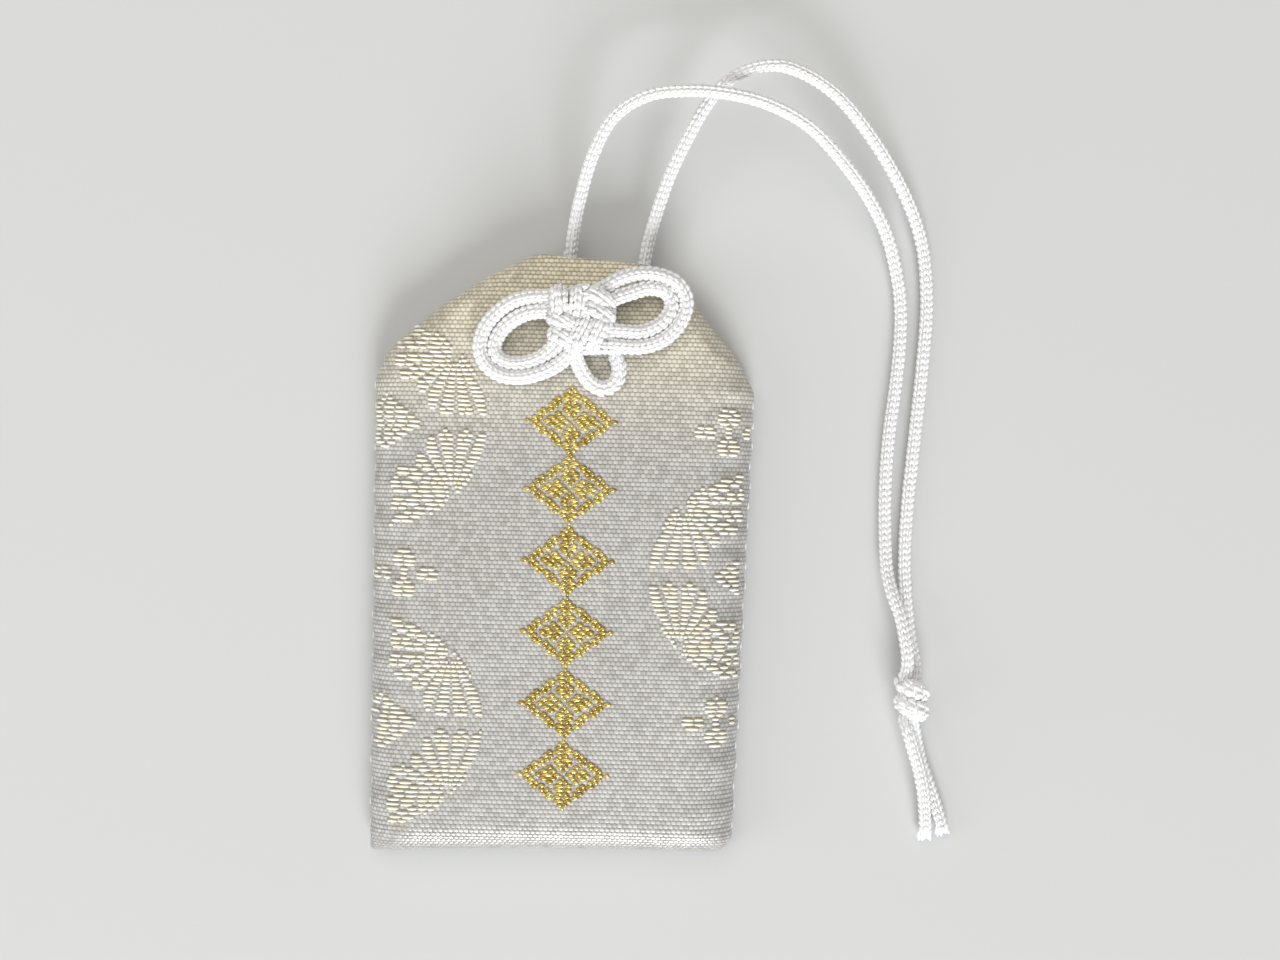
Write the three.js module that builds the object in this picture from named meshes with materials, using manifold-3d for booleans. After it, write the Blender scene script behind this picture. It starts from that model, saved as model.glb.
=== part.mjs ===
// Omamori charm lying on its back: a brocade pouch, the talisman inside it, and its bow-knotted cord.
// Millimetres. +Z points out of the pouch's front, +Y to its mouth, +X to the right of someone facing it.
import * as THREE from 'three';
import { mergeVertices } from 'three/addons/utils/BufferGeometryUtils.js';
import manifoldModule from 'manifold-3d';

const wasm = await manifoldModule();
wasm.setup();

// Fits between neighbouring pieces
const gap = 0.3;
const turnGap = 0.41;

// Pouch: one strip of brocade folded at the bottom and sewn up both sides
const cloth = 0.6;
const bodyLeft = { bottom: [-21.9, -35.6], shoulder: [-22.6, 20.4] };
const bodyRight = { bottom: [21.2, -34.8], shoulder: [22.6, 19.0] };
const mouthLeft = [-4.3, 35.6];
const mouthRight = [11.4, 34.4];
const bellyHeight = 5.2;
const mouthHeight = 4.7;
const seamHeight = 1.8;
const bottomSag = 0.4;
const foldRadius = 3.2;
const bellyEdge = 7.0;
const mouthEdge = 2.6;
const backEdge = 1.6;
const seamInset = 1.2;
const cornerLeft = 0.7;
const cornerRight = 2.6;

// What the pouch holds
const cardThickness = 0.6;
const cardInset = 3.0;
const cardTop = 31.4;
const paper = 0.3;
const slip = { width: 26.6, length: 45, thickness: 1.0 };
const wrapperBottom = -31;
const wrapperLength = 47.5;

// Cord: knitted, pressed thinner where the knots hold it
const cordDiameter = 1.8;
const cordSides = 8;
const knotTube = 1.2;
const knotStep = 1.0;
const knotCentre = new THREE.Vector3(2.0, 27.7, 5.1);

// Bow knot: two lanes of cord in a four-band pinwheel, counted from the knot's centre
const lanePitch = 1.75;
const laneInner = 1.5;
const laneOuter = laneInner + lanePitch;
const levelPitch = 1.95;
const backLevel = 2.15;
const middleLevel = backLevel + levelPitch;
const frontLevel = middleLevel + levelPitch;
const returnLevel = 0.82;

const backing = cloth + gap;
const cardFace = backing + cardThickness;
const wrapperFloor = cardFace + gap;
const wrapperWidth = slip.width + 2 * (paper + gap);
const wrapperHeight = slip.thickness + 2 * (paper + gap);
const legHeight = cardFace + gap + knotTube / 2 + 0.1;
const holeDiameter = knotTube + 2 * gap;

function material(color, roughness) {
  return new THREE.MeshStandardMaterial({ color, roughness, metalness: 0 });
}

function piece(name, geometry, look) {
  const mesh = new THREE.Mesh(geometry, look);
  mesh.name = name;
  return mesh;
}

function vectors(list) {
  return list.map((point) => new THREE.Vector3(...point));
}

// Closed tube along a smooth curve through the points
function smooth(points) {
  const curve = new THREE.CatmullRomCurve3(points, false, 'centripetal');
  curve.arcLengthDivisions = 30 * points.length;
  return curve;
}

function tube(curve, diameter, step) {
  const corners = [];
  for (let side = 0; side < cordSides; side += 1) {
    const angle = (2 * Math.PI * side) / cordSides;
    corners.push(new THREE.Vector2(Math.cos(angle), Math.sin(angle)).multiplyScalar(diameter / 2));
  }
  const steps = Math.ceil(curve.getLength() / step);
  return new THREE.ExtrudeGeometry(new THREE.Shape(corners), { steps, extrudePath: curve, bevelEnabled: false });
}

// Least distance between stretches of a tube that aren't next to each other along it
function leastGap(curve, diameter) {
  const length = curve.getLength();
  const count = Math.ceil(length / 0.3);
  const points = curve.getSpacedPoints(count);
  const apart = Math.ceil((3 * diameter * count) / length);
  let least = Infinity;
  for (let i = 0; i < points.length; i += 1) {
    for (let j = i + apart; j < points.length; j += 1) {
      least = Math.min(least, points[i].distanceTo(points[j]));
    }
  }
  return least - diameter;
}

function reportGap(name, curve, diameter) {
  const found = leastGap(curve, diameter);
  console.log(`${name}: ${curve.getLength().toFixed(0)} mm of cord, least gap to itself ${found.toFixed(2)} mm`);
  if (found < turnGap) {
    throw new Error(`${name} comes too near itself`);
  }
}

// Solid cut by another
function solidOf(geometry) {
  const bare = geometry.clone();
  bare.deleteAttribute('normal');
  bare.deleteAttribute('uv');
  const merged = mergeVertices(bare, 1e-4);
  const mesh = new wasm.Mesh({
    numProp: 3,
    vertProperties: new Float32Array(merged.attributes.position.array),
    triVerts: new Uint32Array(merged.index.array),
  });
  mesh.merge();
  return new wasm.Manifold(mesh);
}

function cut(geometry, cutters) {
  let solid = solidOf(geometry);
  for (const cutter of cutters) {
    solid = solid.subtract(solidOf(cutter));
  }
  const mesh = solid.getMesh();
  const result = new THREE.BufferGeometry();
  result.setAttribute('position', new THREE.BufferAttribute(mesh.vertProperties, 3));
  result.setIndex(new THREE.BufferAttribute(mesh.triVerts, 1));
  return result;
}

// Pouch outline: straight sides below the shoulders, a curved gable above them up to the mouth
const leftGable = new THREE.CubicBezierCurve(
  new THREE.Vector2(...bodyLeft.shoulder),
  new THREE.Vector2(-22.7, 24.9),
  new THREE.Vector2(-10.0, 33.4),
  new THREE.Vector2(...mouthLeft),
);
const rightGable = new THREE.CubicBezierCurve(
  new THREE.Vector2(...bodyRight.shoulder),
  new THREE.Vector2(22.7, 23.2),
  new THREE.Vector2(14.3, 30.6),
  new THREE.Vector2(...mouthRight),
);

// A row goes from 0 at the bottom fold through 1 at the shoulders to 2 at the mouth
function edgePoint(body, gable, row) {
  if (row > 1) {
    return gable.getPoint(row - 1);
  }
  return new THREE.Vector2(...body.bottom).lerp(new THREE.Vector2(...body.shoulder), row);
}

const bodyLength = bodyLeft.shoulder[1] - bodyLeft.bottom[1];

function round(distance, radius) {
  const share = Math.min(1, Math.max(0, distance / radius));
  return Math.sqrt(1 - (1 - share) ** 2);
}

// One ring of the pouch round a row: across the front from left to right, then back underneath
function pouchRing(row, inset, columns) {
  const left = edgePoint(bodyLeft, leftGable, row);
  const right = edgePoint(bodyRight, rightGable, row);
  left.x += cornerLeft * (1 - round(row * bodyLength, cornerLeft));
  right.x -= cornerRight * (1 - round(row * bodyLength, cornerRight));
  const wall = inset > 0 ? cloth : 0;
  const rise = Math.max(0, row - 1);
  const crown = THREE.MathUtils.lerp(bellyHeight, mouthHeight, rise) - wall;
  const crownEdge = THREE.MathUtils.lerp(bellyEdge, mouthEdge, Math.sqrt(rise));
  const fromBottom = row * bodyLength - inset;
  const sag = bottomSag * Math.max(0, 1 - row * 2);
  const front = [];
  const back = [];
  for (let column = 0; column <= columns; column += 1) {
    const share = (1 - Math.cos((Math.PI * column) / columns)) / 2;
    const x = THREE.MathUtils.lerp(left.x + inset, right.x - inset, share);
    const y = THREE.MathUtils.lerp(left.y, right.y, share) + 4 * sag * share * (1 - share);
    const fromSide = (right.x - left.x - 2 * inset) * Math.min(share, 1 - share);
    const full = round(fromSide, crownEdge - inset / 2) * round(fromBottom, foldRadius - inset / 2);
    const flat = round(fromSide, backEdge) * round(fromBottom, backEdge);
    front.push(new THREE.Vector3(x, y, seamHeight + (crown - seamHeight) * full));
    back.push(new THREE.Vector3(x, y, wall + (seamHeight - wall) * (1 - flat)));
  }
  return [...front, ...back.slice(1, -1).reverse()];
}

function pouchRows(inset) {
  const start = inset / bodyLength;
  const rows = [];
  for (const share of [0, 0.08, 0.3, 0.62, 1]) {
    rows.push(start + (share * foldRadius) / bodyLength);
  }
  for (const share of [0.3, 0.55, 0.8, 1]) {
    rows.push(share);
  }
  for (let step = 1; step <= 7; step += 1) {
    rows.push(1 + step / 7);
  }
  return rows;
}

function pouchGeometry() {
  const columns = 16;
  const outer = pouchRows(0).map((row) => pouchRing(row, 0, columns));
  const inner = pouchRows(seamInset).map((row) => pouchRing(row, seamInset, columns));
  const rings = [...outer, ...inner.reverse()];
  const count = rings[0].length;
  const index = [];
  for (let ring = 0; ring + 1 < rings.length; ring += 1) {
    for (let k = 0; k < count; k += 1) {
      const a = ring * count + k;
      const b = ring * count + ((k + 1) % count);
      index.push(a, b, b + count, a, b + count, a + count);
    }
  }
  const shell = new THREE.BufferGeometry().setFromPoints(rings.flat());
  shell.setIndex(index);
  return shell;
}

function hole(at) {
  const drill = new THREE.CylinderGeometry(holeDiameter / 2, holeDiameter / 2, 4, 16);
  drill.rotateX(Math.PI / 2);
  drill.translate(at.x, at.y, bellyHeight);
  return drill;
}

// Stiffener card: follows the pouch's outline inside the seams
function cardGeometry() {
  const side = (body, gable, sign) => {
    const points = [];
    for (const row of [0, 1, 1.25, 1.5, 1.7]) {
      const edge = edgePoint(body, gable, row);
      points.push(new THREE.Vector2(edge.x + sign * cardInset, edge.y));
    }
    points[0].y += cardInset;
    return points;
  };
  const left = side(bodyLeft, leftGable, 1);
  const right = side(bodyRight, rightGable, -1);
  const outline = [...right, ...left.reverse()];
  for (const point of outline) {
    point.y = Math.min(point.y, cardTop);
  }
  const card = new THREE.ExtrudeGeometry(new THREE.Shape(outline), { depth: cardThickness, bevelEnabled: false });
  card.translate(0, 0, backing);
  return card;
}

// Paper wrapper: a sleeve open at both ends, folded flat round the slip
function sleeveOutline(width, height, radius, PathClass) {
  const x = width / 2;
  const outline = new PathClass();
  outline.moveTo(-x + radius, 0);
  outline.lineTo(x - radius, 0);
  outline.absarc(x - radius, radius, radius, -Math.PI / 2, 0);
  outline.absarc(x - radius, height - radius, radius, 0, Math.PI / 2);
  outline.lineTo(-x + radius, height);
  outline.absarc(-x + radius, height - radius, radius, Math.PI / 2, Math.PI);
  outline.absarc(-x + radius, radius, radius, Math.PI, 1.5 * Math.PI);
  return outline;
}

function wrapperGeometry() {
  const outline = sleeveOutline(wrapperWidth, wrapperHeight, 0.9, THREE.Shape);
  const inside = sleeveOutline(wrapperWidth - 2 * paper, wrapperHeight - 2 * paper, 0.6, THREE.Path);
  const shifted = inside.getPoints(4).map((point) => new THREE.Vector2(point.x, point.y + paper));
  outline.holes.push(new THREE.Path(shifted));
  const sleeve = new THREE.ExtrudeGeometry(outline, { depth: wrapperLength, bevelEnabled: false, curveSegments: 4 });
  sleeve.rotateX(Math.PI / 2);
  sleeve.translate(0, wrapperBottom + wrapperLength, wrapperFloor);
  return sleeve;
}

function slipGeometry() {
  const board = new THREE.BoxGeometry(slip.width, slip.length, slip.thickness);
  const middle = wrapperBottom + wrapperLength / 2;
  board.translate(0, middle, wrapperFloor + paper + gap + slip.thickness / 2);
  return board;
}

// Bow knot, each stretch in the knot's own axes: right, up, and out of the pouch.
// Bands: top-left wrap T, right wrap R, bottom-right wrap B and left wrap L, each over one and under the next.
const halfway = (middleLevel + frontLevel) / 2;
const rampReach = 1.05;
const rampEase = 0.12;
const bend = 0.87 * levelPitch;
const foldReach = laneOuter + levelPitch;
const foldSide = laneOuter + levelPitch / 2;

function across(lane, downAt) {
  return [
    [-laneOuter, downAt[0]],
    [-rampReach, downAt[1]],
    [0, halfway],
    [rampReach, downAt[2]],
    [laneOuter, downAt[3]],
  ].map(([along, level]) => [along, lane, level]);
}

const rising = [middleLevel, middleLevel + rampEase, frontLevel - rampEase, frontLevel];
const falling = [...rising].reverse();

function upright(points) {
  return points.map(([along, lane, level]) => [lane, along, level]);
}

function wrapT(lane) {
  return upright(across(lane, rising)).reverse();
}

function wrapR(lane) {
  return across(lane, rising);
}

function wrapB(lane) {
  return upright(across(lane, falling)).reverse();
}

function wrapL(lane) {
  return across(lane, falling);
}

function foldTop(lane) {
  return [
    [lane, foldSide, middleLevel - bend],
    [lane, foldReach, middleLevel],
    [lane, foldSide, middleLevel + bend],
  ];
}

function foldBottom(lane) {
  return foldTop(lane).reverse().map(([right, up, out]) => [right, -up, out]);
}

function foldRight(lane) {
  return [
    [foldSide, lane, middleLevel + bend],
    [foldReach, lane, middleLevel],
    [foldSide, lane, middleLevel - bend],
    [laneOuter, lane, backLevel],
  ];
}

function foldLeft(lane) {
  return foldRight(lane).reverse().map(([right, up, out]) => [-right, up, out]);
}

const leftLoopInner = [
  [-3.55, -4.7, 4.0],
  [-5.0, -5.55, 3.7],
  [-6.9, -5.6, 3.2],
  [-8.8, -4.8, 2.8],
  [-9.9, -3.2, 2.6],
  [-9.5, -1.2, 2.7],
  [-8.0, 0.3, 3.1],
  [-6.0, 1.1, 3.7],
];

const leftLoopOuter = [
  [-1.65, -5.0, 4.1],
  [-2.5, -6.5, 4.0],
  [-4.6, -7.4, 3.7],
  [-7.2, -7.5, 3.2],
  [-9.9, -6.4, 2.8],
  [-11.8, -3.4, 2.6],
  [-11.1, -0.1, 2.7],
  [-8.8, 1.95, 3.1],
  [-6.2, 2.9, 3.7],
];

const rightLoopOuter = [
  [5.9, -3.5, 3.8],
  [8.4, -2.8, 3.3],
  [11.0, -0.9, 2.8],
  [12.1, 1.5, 2.6],
  [11.8, 4.0, 2.7],
  [10.2, 5.9, 3.0],
  [8.0, 6.8, 3.3],
  [5.5, 7.0, 3.7],
  [3.1, 6.5, 4.0],
  [1.8, 5.2, 4.1],
];

const rightLoopInner = [
  [5.6, -1.6, 3.8],
  [7.7, -1.0, 3.3],
  [9.6, 0.4, 2.8],
  [10.3, 1.8, 2.6],
  [10.0, 3.2, 2.7],
  [9.1, 4.4, 3.0],
  [7.7, 5.0, 3.3],
  [6.0, 5.2, 3.7],
  [4.5, 5.1, 4.0],
  [3.55, 4.4, 4.1],
];

const backPassLower = [
  [1.6, 0.1, backLevel],
  [0.2, -1.05, backLevel + 0.45],
  [-1.5, -2.45, backLevel],
];

const backPassUpper = backPassLower.map(([right, up, out]) => [-right, -up, out]).reverse();

// Lower loop: out at the bottom of the knot, round, and up behind it to the top
const lowerLoop = [
  [1.25, -5.0, 5.5],
  [0.6, -6.2, 4.0],
  [0.4, -7.2, 2.4],
  [1.2, -8.5, 1.3],
  [2.8, -9.1, 0.95],
  [4.3, -8.3, 0.95],
  [4.7, -6.9, 0.95],
  [3.9, -5.75, 0.9],
  [2.2, -4.9, returnLevel],
  [1.15, -3.4, returnLevel],
  [0.5, -1.6, returnLevel],
  [0, 0, returnLevel],
  [-0.5, 1.4, returnLevel],
  [-1.0, 2.5, 1.2],
];

const leftHole = new THREE.Vector3(-laneOuter, laneOuter - 0.3, 0).add(knotCentre);
const rightHole = new THREE.Vector3(laneOuter, -laneOuter + 0.3, 0).add(knotCentre);
const leftExit = new THREE.Vector3(0.3, 34.95, 2.4);
const rightExit = new THREE.Vector3(9.0, 34.9, 2.4);

// Legs inside the pouch, from a hole behind the knot up to the mouth
const leftLeg = [
  leftExit,
  new THREE.Vector3(0.05, 33.6, legHeight),
  new THREE.Vector3(-0.7, 32.2, legHeight),
  new THREE.Vector3(leftHole.x, leftHole.y + 0.6, legHeight + 0.5),
  new THREE.Vector3(leftHole.x, leftHole.y, legHeight + 1.9),
];
const rightLeg = [
  new THREE.Vector3(rightHole.x, rightHole.y, legHeight + 1.9),
  new THREE.Vector3(rightHole.x, rightHole.y + 0.6, legHeight + 0.5),
  new THREE.Vector3(rightHole.x + 0.5, rightHole.y + 2.4, legHeight),
  new THREE.Vector3(7.6, 30.5, legHeight),
  new THREE.Vector3(8.8, 33.4, legHeight),
  rightExit,
];

const bowStretches = [
  foldTop(-laneOuter),
  wrapT(-laneOuter),
  leftLoopInner,
  wrapR(laneInner),
  foldRight(laneInner),
  backPassLower,
  foldLeft(-laneOuter),
  wrapL(-laneOuter),
  rightLoopOuter,
  wrapB(laneInner),
  lowerLoop,
  foldTop(-laneInner),
  wrapT(-laneInner),
  leftLoopOuter,
  wrapR(laneOuter),
  foldRight(laneOuter),
  backPassUpper,
  foldLeft(-laneInner),
  wrapL(-laneInner),
  rightLoopInner,
  wrapB(laneOuter),
  foldBottom(laneOuter),
];
const bowPoints = vectors(bowStretches.flat()).map((point) => point.add(knotCentre));
const bowCurve = smooth([...leftLeg, ...bowPoints, ...rightLeg]);

// Hanging strands: out of the mouth, over in a springy arch, then flat on the table to the stop knot
const leftStrandPoints = vectors([
  [0.3, 35.8, 2.4],
  [0.6, 38.2, 3.2],
  [1.2, 41.5, 4.4],
  [2.9, 47.2, 6.4],
  [5.2, 51.2, 7.6],
  [9.0, 53.5, 8.5],
  [13.8, 54.1, 8.9],
  [18.3, 53.9, 8.7],
  [23.0, 53.0, 7.9],
  [27.8, 50.8, 6.8],
  [31.8, 47.3, 5.4],
  [35.2, 43.4, 3.8],
  [37.8, 39.1, 2.3],
  [39.4, 34.0, 1.2],
  [39.9, 30.5, 0.9],
  [39.9, 26.0, 0.9],
  [39.5, 21.0, 0.9],
  [38.9, 15.5, 0.9],
  [38.6, 9.4, 0.9],
  [38.7, 3.3, 1.0],
  [39.0, -1.0, 1.4],
  [39.6, -3.6, 2.2],
  [40.5, -6.2, 2.9],
  [41.1, -9.0, 3.45],
  [41.5, -11.4, 4.1],
  [41.9, -13.0, 4.6],
]);
const rightStrandPoints = vectors([
  [9.0, 35.2, 2.4],
  [9.5, 37.5, 2.8],
  [10.3, 40.5, 3.5],
  [11.9, 45.3, 4.6],
  [13.9, 49.6, 5.4],
  [15.9, 53.2, 5.9],
  [18.2, 55.9, 6.4],
  [21.0, 57.3, 6.9],
  [23.9, 57.7, 7.1],
  [26.8, 57.0, 7.0],
  [30.8, 54.8, 6.2],
  [34.2, 51.6, 5.0],
  [37.7, 47.2, 3.5],
  [40.6, 42.4, 2.1],
  [42.3, 37.8, 1.2],
  [43.0, 31.5, 0.9],
  [42.7, 24.2, 0.9],
  [42.0, 15.6, 0.9],
  [41.3, 7.0, 0.9],
  [41.1, 0.7, 0.9],
  [41.3, -3.0, 0.9],
  [41.6, -6.0, 0.95],
  [42.0, -9.0, 1.3],
  [42.25, -11.4, 1.9],
  [42.4, -13.4, 2.5],
  [42.4, -15.6, 2.75],
  [42.5, -17.8, 2.8],
  [42.8, -19.6, 2.95],
  [43.5, -22.0, 2.75],
  [44.5, -25.4, 2.4],
  [45.65, -29.2, 1.7],
  [46.4, -31.6, 1.1],
]);

// Stop knot: the left strand comes over the right one and is tied once and a half round it
const stopStart = new THREE.Vector3(42.4, -14.0, 2.75);
const stopTurns = 1.5;
const stopPitch = 2.3;
const stopRadius = cordDiameter / 2 + gap + knotTube / 2 + 0.02;

function stopKnotPoints() {
  const points = vectors([[42.02, -13.35, 4.7]]);
  const perTurn = 8;
  for (let step = 0; step <= stopTurns * perTurn; step += 1) {
    const angle = Math.PI / 2 - (2 * Math.PI * step) / perTurn;
    const along = (-stopPitch * step) / perTurn;
    const offset = new THREE.Vector3(stopRadius * Math.cos(angle), along, stopRadius * Math.sin(angle));
    points.push(offset.add(stopStart));
  }
  points.push(new THREE.Vector3(42.0, -18.3, 0.85));
  points.push(new THREE.Vector3(41.95, -19.0, 0.9));
  return points;
}

const leftTailPoints = vectors([
  [42.0, -19.4, 0.95],
  [42.4, -22.0, 0.9],
  [43.0, -25.4, 0.9],
  [43.7, -29.2, 0.9],
  [44.2, -32.4, 0.9],
]);

const stopCurve = smooth(stopKnotPoints());
reportGap('bow_knot', bowCurve, knotTube);
reportGap('stop_knot', stopCurve, knotTube);

const brocade = { color: 0xcfc4ae, roughness: 0.55 };
const cordWhite = { color: 0xf2f1ec, roughness: 0.5 };
const cordLook = () => material(cordWhite.color, cordWhite.roughness);
const strandStep = 3.6;

const charm = new THREE.Group();
charm.name = 'omamori_charm';
charm.add(
  piece(
    'brocade_pouch',
    cut(pouchGeometry(), [hole(leftHole), hole(rightHole)]),
    material(brocade.color, brocade.roughness),
  ),
  piece('stiffener_card', cardGeometry(), material(0xd9d4c8, 0.9)),
  piece('talisman_wrapper', wrapperGeometry(), material(0xf5f3ea, 0.85)),
  piece('talisman_slip', slipGeometry(), material(0xd8b98a, 0.7)),
  piece('bow_knot', tube(bowCurve, knotTube, knotStep), cordLook()),
  piece('hanging_strand_left', tube(smooth(leftStrandPoints), cordDiameter, strandStep), cordLook()),
  piece('hanging_strand_right', tube(smooth(rightStrandPoints), cordDiameter, strandStep), cordLook()),
  piece('stop_knot', tube(stopCurve, knotTube, knotStep), cordLook()),
  piece('tail_left', tube(smooth(leftTailPoints), cordDiameter, strandStep), cordLook()),
);

export default charm;
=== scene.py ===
import math

import bpy
import numpy as np
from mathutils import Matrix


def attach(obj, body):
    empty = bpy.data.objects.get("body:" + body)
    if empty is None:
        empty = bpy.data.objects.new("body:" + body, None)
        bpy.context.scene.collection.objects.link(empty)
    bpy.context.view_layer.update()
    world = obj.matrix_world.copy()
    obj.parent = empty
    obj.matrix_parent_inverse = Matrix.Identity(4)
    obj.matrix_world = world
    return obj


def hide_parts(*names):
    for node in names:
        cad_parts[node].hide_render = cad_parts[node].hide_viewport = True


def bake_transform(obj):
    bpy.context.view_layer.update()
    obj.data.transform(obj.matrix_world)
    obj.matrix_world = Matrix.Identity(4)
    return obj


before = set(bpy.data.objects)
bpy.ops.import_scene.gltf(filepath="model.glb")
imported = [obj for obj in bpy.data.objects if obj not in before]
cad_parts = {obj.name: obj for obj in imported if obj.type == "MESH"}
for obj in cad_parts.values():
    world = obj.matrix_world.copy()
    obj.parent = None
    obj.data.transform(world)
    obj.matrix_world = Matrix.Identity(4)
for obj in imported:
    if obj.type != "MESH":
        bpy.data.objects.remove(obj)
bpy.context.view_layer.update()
scene = bpy.context.scene
mm = 0.001
print("frame loaded:", len(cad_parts), "solids")


# One output socket. Arithmetic on it adds Math nodes to its tree.
class Sock:
    def __init__(self, net, socket):
        self.net = net
        self.socket = socket

    def math(self, operation, *others):
        return self.net.node("ShaderNodeMath", {"operation": operation}, [self, *others])

    def __add__(self, other):
        return self.math("ADD", other)

    def __sub__(self, other):
        return self.math("SUBTRACT", other)

    def __mul__(self, other):
        return self.math("MULTIPLY", other)

    def __truediv__(self, other):
        return self.math("DIVIDE", other)

    def __rsub__(self, other):
        return self.net.node("ShaderNodeMath", {"operation": "SUBTRACT"}, [other, self])

    __radd__ = __add__
    __rmul__ = __mul__

    def __getitem__(self, name):
        return Sock(self.net, self.socket.node.outputs[name])


# A node tree with one method that adds any node: its type, its settings, then its sockets.
class Net:
    def __init__(self, tree):
        self.tree = tree

    def node(self, kind, settings=None, sockets=None, output=0):
        made = self.tree.nodes.new(kind)
        for name, value in (settings or {}).items():
            if name == "stops":
                ramp = made.color_ramp
                while len(ramp.elements) < len(value):
                    ramp.elements.new(0.5)
                for element, (place, colour) in zip(ramp.elements, value):
                    element.position = place
                    element.color = colour
            else:
                setattr(made, name, value)
        pairs = enumerate(sockets) if isinstance(sockets, list) else (sockets or {}).items()
        for key, value in pairs:
            self.plug(made.inputs[key], value)
        return Sock(self, made.outputs[output]) if made.outputs else made

    def plug(self, socket, value):
        if isinstance(value, Sock):
            self.tree.links.new(value.socket, socket)
        elif value is not None:
            socket.default_value = value

    def vectorMath(self, operation, *values, output=0):
        return self.node("ShaderNodeVectorMath", {"operation": operation}, list(values), output)


# Geometry tree with named inputs, numbers and a material, run on a mesh and turned into a plain mesh
class Recipe(Net):
    def __init__(self, name, sizes, counts=()):
        super().__init__(bpy.data.node_groups.new(name, "GeometryNodeTree"))
        face = self.tree.interface
        face.new_socket("Geometry", in_out="INPUT", socket_type="NodeSocketGeometry")
        kinds = {label: "NodeSocketFloat" for label in sizes}
        kinds.update({label: "NodeSocketInt" for label in counts})
        kinds["Material"] = "NodeSocketMaterial"
        self.names = {}
        for label, kind in kinds.items():
            self.names[label] = face.new_socket(label, in_out="INPUT", socket_type=kind).identifier
        face.new_socket("Geometry", in_out="OUTPUT", socket_type="NodeSocketGeometry")
        self.start = self.node("NodeGroupInput")

    def named(self, label, kind):
        return self.node("GeometryNodeInputNamedAttribute", {"data_type": kind}, {"Name": label})

    def scaled(self, vector, factor):
        made = self.vectorMath("SCALE", vector)
        self.plug(made.socket.node.inputs["Scale"], factor)
        return made

    def smooth(self, geometry):
        sockets = {"Geometry": geometry, "Shade Smooth": True}
        return self.node("GeometryNodeSetShadeSmooth", None, sockets)

    def close(self, geometry):
        realized = self.node("GeometryNodeRealizeInstances", None, [geometry])
        sockets = {"Geometry": realized, "Material": self.start["Material"]}
        painted = self.node("GeometryNodeSetMaterial", None, sockets)
        self.node("NodeGroupOutput", None, [painted])

    def make(self, name, guide, values):
        holder = bpy.data.objects.new(name + "Guide", guide)
        scene.collection.objects.link(holder)
        modifier = holder.modifiers.new("recipe", "NODES")
        modifier.node_group = self.tree
        for label, value in values.items():
            modifier[self.names[label]] = value
        evaluated = holder.evaluated_get(bpy.context.evaluated_depsgraph_get())
        mesh = bpy.data.meshes.new_from_object(evaluated)
        bpy.data.objects.remove(holder)
        bpy.data.meshes.remove(guide)
        mesh.name = name
        made = bpy.data.objects.new(name, mesh)
        scene.collection.objects.link(made)
        print(name, "triangles:", sum(len(face.vertices) - 2 for face in mesh.polygons))
        return made


def meshObject(name, points, faces, material):
    mesh = bpy.data.meshes.new(name)
    mesh.from_pydata([tuple(point) for point in points], [], faces)
    mesh.materials.append(material)
    mesh.shade_smooth()
    made = bpy.data.objects.new(name, mesh)
    scene.collection.objects.link(made)
    return made


def pointMesh(name, points, edges, attributes):
    mesh = bpy.data.meshes.new(name)
    mesh.from_pydata([tuple(point) for point in points], edges, [])
    for label, values in attributes.items():
        values = np.asarray(values, np.float32)
        kind, field = ("FLOAT_VECTOR", "vector") if values.ndim == 2 else ("FLOAT", "value")
        mesh.attributes.new(label, kind, "POINT").data.foreach_set(field, values.ravel())
    return mesh


def startMaterial(name, settings):
    material = bpy.data.materials.new(name)
    material.use_nodes = True
    net = Net(material.node_tree)
    shader = material.node_tree.nodes["Principled BSDF"]
    for label, value in settings.items():
        shader.inputs[label].default_value = value
    return material, net, shader


# Materials

clothLook = {
    "dotPitch": 0.60,        # millimetres between bright dots along a row, two threads of the warp
    "weftPitch": 0.50,       # millimetres between rows
    "thread": (0.595, 0.588, 0.572, 1), "threadTone": 0.92,
    # pit: painted shade, the dark colour that the lows between the dots fall to
    "pit": (0.19, 0.175, 0.155, 1), "pitTone": 0.12,
    "endFall": 0.4, "sideFall": 0.5,   # how far a dot falls away at its ends and its sides
    "leastGlint": 0.72, "glint": 0.4, "fleck": 0.12, "fleckScale": 1.1, "fleckDetail": 3.0,
    # painted warm light: the cloth's colour is made lighter and warmer towards the mouth
    "warm": (1.45, 1.36, 1.09, 1), "warmFrom": 12.0, "warmOver": 22.0,
    "metallic": 0.36, "sheen": 0.12, "roughness": 0.55,
    "pressedBelow": -31.0, "pressedOver": 3, "smoother": 0.23,   # the bottom fold is pressed smooth
    "bumpStrength": 1.0, "bumpHeight": 0.00009,
}
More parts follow.
